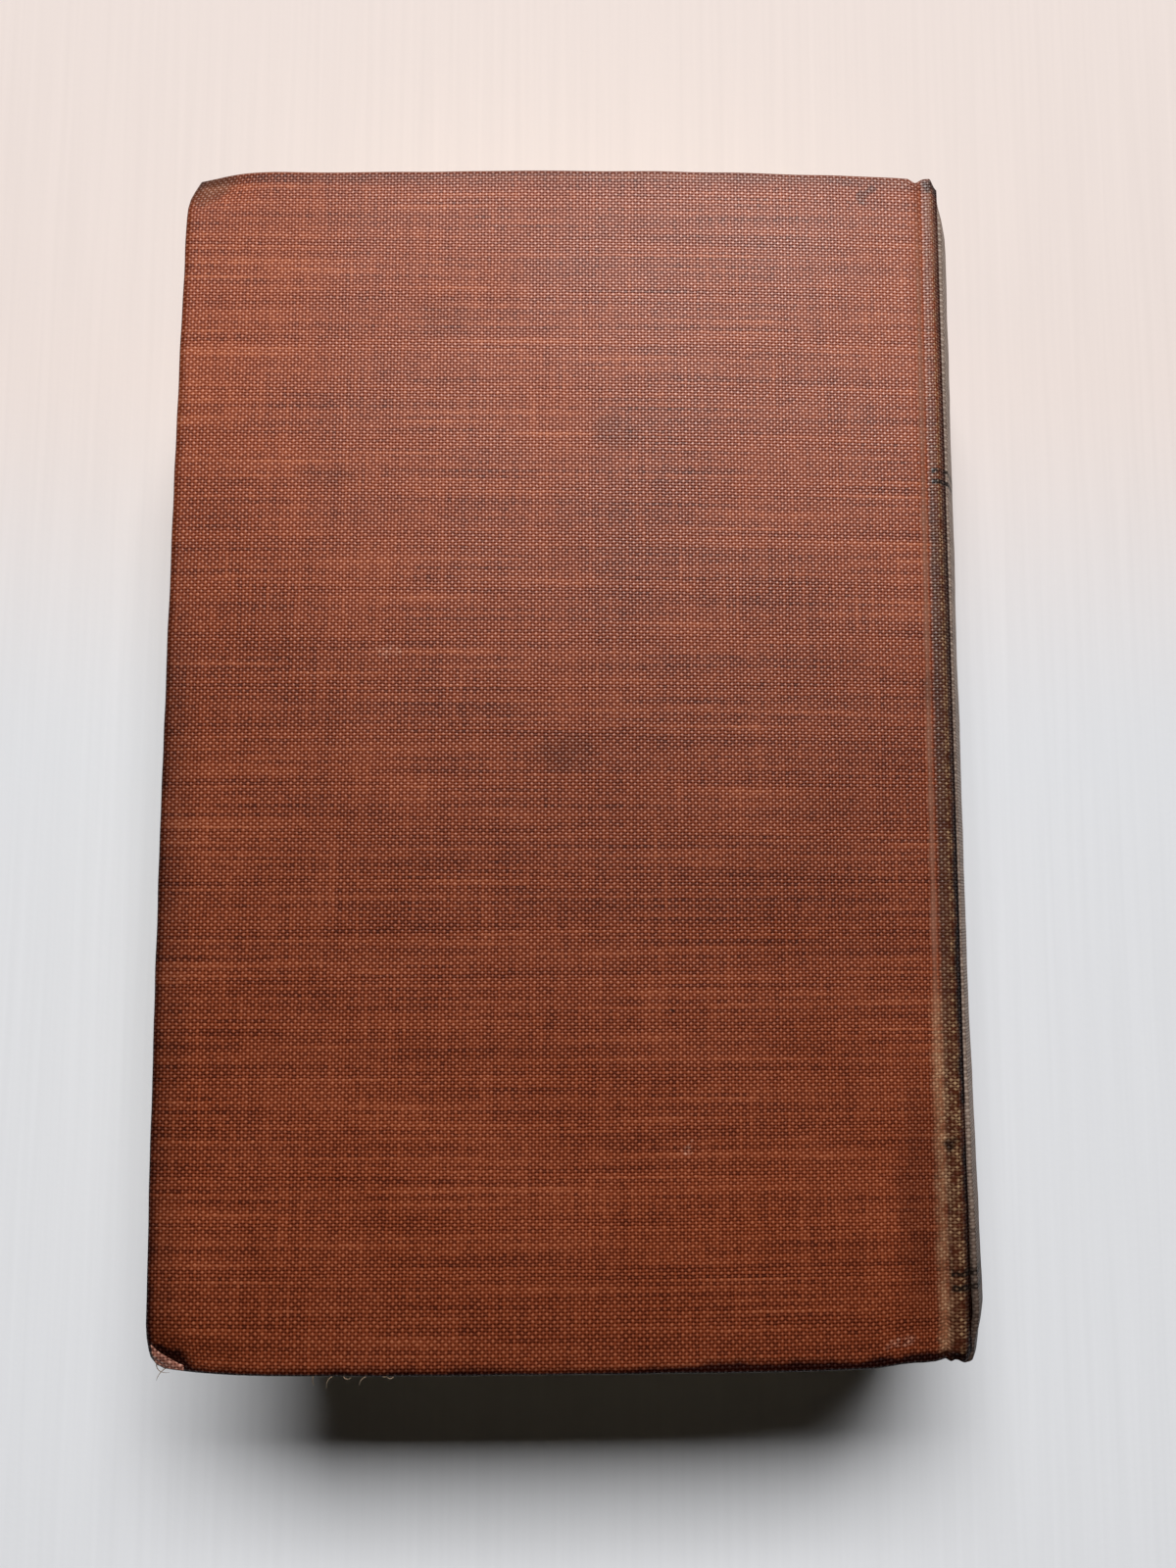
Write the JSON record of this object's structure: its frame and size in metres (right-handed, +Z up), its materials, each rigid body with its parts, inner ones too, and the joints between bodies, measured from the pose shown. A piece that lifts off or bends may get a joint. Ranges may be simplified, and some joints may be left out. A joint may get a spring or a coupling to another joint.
{
  "type": "hardback book",
  "caption": "Cloth-bound hardback book with a rounded spine, lying on its front cover; both covers open on their joints.",
  "frame": {"origin": "under the middle of the book's outline, on the surface that it lies on", "axes": "+Z up through the thickness, +Y along the spine to the head, +X towards the spine"},
  "size_m": [0.1354, 0.197, 0.0474],
  "materials": {
    "book_cloth": "plain woven cotton, dyed rust brown, worn and soiled",
    "greyboard": "pressed grey pulp board",
    "text_paper": "aged uncoated book paper, trimmed edges",
    "endpaper": "aged uncoated cream endpaper",
    "mull": "open cotton gauze, stiffened with size",
    "lining_paper": "brown kraft paper",
    "liner_card": "thin manila card",
    "thread": "bleached linen sewing thread"
  },
  "bodies": {
    "book_block": {"text_block": "text_paper", "sewing_thread": "thread", "spine_mull": "mull", "spine_lining": "lining_paper", "spine_liner": "liner_card", "spine_cloth": "book_cloth", "back_flyleaf": "endpaper", "front_flyleaf": "endpaper"},
    "back_cover": {"back_board": "greyboard", "back_cover_cloth": "book_cloth", "back_pastedown": "endpaper", "back_mull_flange": "mull"},
    "front_cover": {"front_board": "greyboard", "front_cover_cloth": "book_cloth", "front_pastedown": "endpaper", "front_mull_flange": "mull"}
  },
  "joints": [
    {"name": "back_cover_hinge", "type": "hinge", "parent": "book_block", "child": "back_cover", "pos_m": [0.05905, 0, 0.046], "axis": [0, 1, 0], "range_deg": [0, 175]},
    {"name": "front_cover_hinge", "type": "hinge", "parent": "book_block", "child": "front_cover", "pos_m": [0.05905, 0, 0], "axis": [0, -1, 0], "range_deg": [0, 175]}
  ]
}
